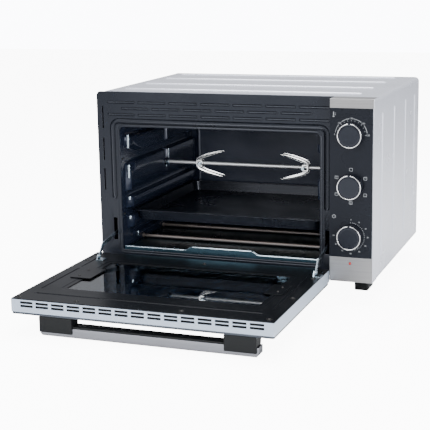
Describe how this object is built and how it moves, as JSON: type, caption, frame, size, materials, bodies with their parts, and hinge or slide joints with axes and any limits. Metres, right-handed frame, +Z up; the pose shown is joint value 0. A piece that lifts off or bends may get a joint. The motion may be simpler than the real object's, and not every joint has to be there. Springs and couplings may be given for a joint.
{
  "type": "rotisserie oven",
  "caption": "Countertop oven with a drop-down glass door, right-hand control panel with dials, sliding trays and a motor-driven spit with forks.",
  "frame": {"origin": "middle of the object's box, door open, on the surface the feet stand on", "axes": "+X to the control panel's side, +Y from the open door towards the rear cover, +Z up"},
  "size_m": [0.56, 0.774, 0.383],
  "materials": {
    "casing_paint": "satin light silver paint on steel sheet",
    "zinc_sheet": "plain galvanised sheet",
    "black_plastic": "fine-grained black plastic",
    "frame_paint": "semi-gloss slate-black paint",
    "cavity_enamel": "black enamel",
    "heater_sheath": "heat-browned steel sheath",
    "panel_silver": "brushed silver finish",
    "facia_black": "black facia with printed pale marks",
    "lamp_lens": "clear red lens",
    "switch_body": "brown switch moulding",
    "motor_can": null,
    "bright_steel": "bright zinc-plated steel",
    "door_silver": "satin silver edge",
    "door_glass": "dark tinted glass",
    "window_glass": "clear heat-resistant glass",
    "panel_enamel": "black painted sheet",
    "handle_silver": "brushed silver",
    "knob_black": "soft black plastic",
    "knob_ring": "bright ring",
    "spit_chrome": "polished chrome plating",
    "tray_enamel": "black enamel",
    "tray_zinc": "bright galvanised sheet"
  },
  "bodies": {
    "cabinet": {"outer_casing": "casing_paint", "rear_cover": "zinc_sheet", "cable_gland": "black_plastic", "base_plate": "zinc_sheet", "foot_front_left": "black_plastic", "foot_front_right": "black_plastic", "foot_rear_left": "black_plastic", "foot_rear_right": "black_plastic", "front_frame": "frame_paint", "liner_left_wall": "cavity_enamel", "liner_right_wall": "cavity_enamel", "liner_floor": "cavity_enamel", "liner_roof": "cavity_enamel", "liner_back": "cavity_enamel", "heater_lower_front": "heater_sheath", "heater_lower_rear": "heater_sheath", "heater_upper_front": "heater_sheath", "heater_upper_rear": "heater_sheath", "control_housing": "panel_silver", "control_facia": "facia_black", "indicator_lamp": "lamp_lens", "thermostat": "switch_body", "function_switch": "switch_body", "timer": "switch_body", "drive_motor": "motor_can", "hinge_ear_left": "bright_steel", "hinge_ear_right": "bright_steel", "arm_spring_left": "bright_steel", "arm_spring_right": "bright_steel"},
    "door": {"door_frame": "door_silver", "door_outer_glass": "door_glass", "door_inner_panel": "panel_enamel", "door_inner_glass": "window_glass", "glass_clip_left": "panel_enamel", "glass_clip_right": "panel_enamel", "handle_bracket_left": "black_plastic", "handle_bracket_right": "black_plastic", "handle_bar": "handle_silver", "handle_liner": "black_plastic", "door_hinge_left": "bright_steel", "door_hinge_right": "bright_steel", "arm_lug_left": "bright_steel", "arm_lug_right": "bright_steel"},
    "arm_left": {"hinge_arm_left": "bright_steel"},
    "arm_right": {"hinge_arm_right": "bright_steel"},
    "temperature_control": {"temperature_knob": "knob_black", "temperature_knob_ring": "knob_ring"},
    "function_control": {"function_knob": "knob_black", "function_knob_ring": "knob_ring"},
    "timer_control": {"timer_knob": "knob_black", "timer_knob_ring": "knob_ring"},
    "spit": {"spit_rod": "spit_chrome", "drive_socket": "bright_steel"},
    "fork_left": {"spit_fork_left": "spit_chrome"},
    "fork_left_screw": {"spit_fork_left_screw": "bright_steel"},
    "fork_right": {"spit_fork_right": "spit_chrome"},
    "fork_right_screw": {"spit_fork_right_screw": "bright_steel"},
    "baking_tray": {"baking_tray": "tray_enamel"},
    "crumb_tray": {"crumb_tray": "tray_zinc"}
  },
  "joints": [
    {"name": "door_swing", "type": "hinge", "parent": "cabinet", "child": "door", "pos_m": [-0.0407, -0.0485, 0.0425], "axis": [-1, 0, 0], "range_deg": [0, 90]},
    {"name": "arm_left_pivot", "type": "hinge", "parent": "door", "child": "arm_left", "pos_m": [-0.248, -0.102, 0.072], "axis": [-1, 0, 0], "range_deg": [-90, 0]},
    {"name": "arm_right_pivot", "type": "hinge", "parent": "door", "child": "arm_right", "pos_m": [0.186, -0.102, 0.072], "axis": [-1, 0, 0], "range_deg": [-90, 0]},
    {"name": "temperature_turn", "type": "hinge", "parent": "cabinet", "child": "temperature_control", "pos_m": [0.2385, -0.0563, 0.3185], "axis": [0, 1, 0], "range_deg": [-90, 90]},
    {"name": "function_turn", "type": "hinge", "parent": "cabinet", "child": "function_control", "pos_m": [0.2385, -0.0563, 0.225], "axis": [0, 1, 0], "range_deg": [0, 300]},
    {"name": "timer_turn", "type": "hinge", "parent": "cabinet", "child": "timer_control", "pos_m": [0.2385, -0.0563, 0.132], "axis": [0, 1, 0], "range_deg": [0, 285]},
    {"name": "spit_spin", "type": "hinge", "parent": "cabinet", "child": "spit", "pos_m": [-0.23, 0.184, 0.212], "axis": [1, 0, 0], "continuous": true},
    {"name": "fork_left_slide", "type": "slide", "parent": "spit", "child": "fork_left", "axis": [1, 0, 0], "range_m": [-0.06, 0.06]},
    {"name": "fork_right_slide", "type": "slide", "parent": "spit", "child": "fork_right", "axis": [1, 0, 0], "range_m": [-0.06, 0.06]},
    {"name": "fork_left_screw_turn", "type": "hinge", "parent": "fork_left", "child": "fork_left_screw", "pos_m": [-0.142, 0.174, 0.212], "axis": [0, 1, 0], "range_deg": [-360, 0]},
    {"name": "fork_right_screw_turn", "type": "hinge", "parent": "fork_right", "child": "fork_right_screw", "pos_m": [0.083, 0.174, 0.212], "axis": [0, 1, 0], "range_deg": [-360, 0]},
    {"name": "baking_tray_slide", "type": "slide", "parent": "cabinet", "child": "baking_tray", "axis": [0, 1, 0], "range_m": [-0.3, 0]},
    {"name": "crumb_tray_slide", "type": "slide", "parent": "cabinet", "child": "crumb_tray", "axis": [0, 1, 0], "range_m": [-0.3, 0]}
  ],
  "couplings": [
    {"joint": "arm_left_pivot", "follows": "door_swing", "ratio": -1},
    {"joint": "arm_right_pivot", "follows": "door_swing", "ratio": -1}
  ]
}
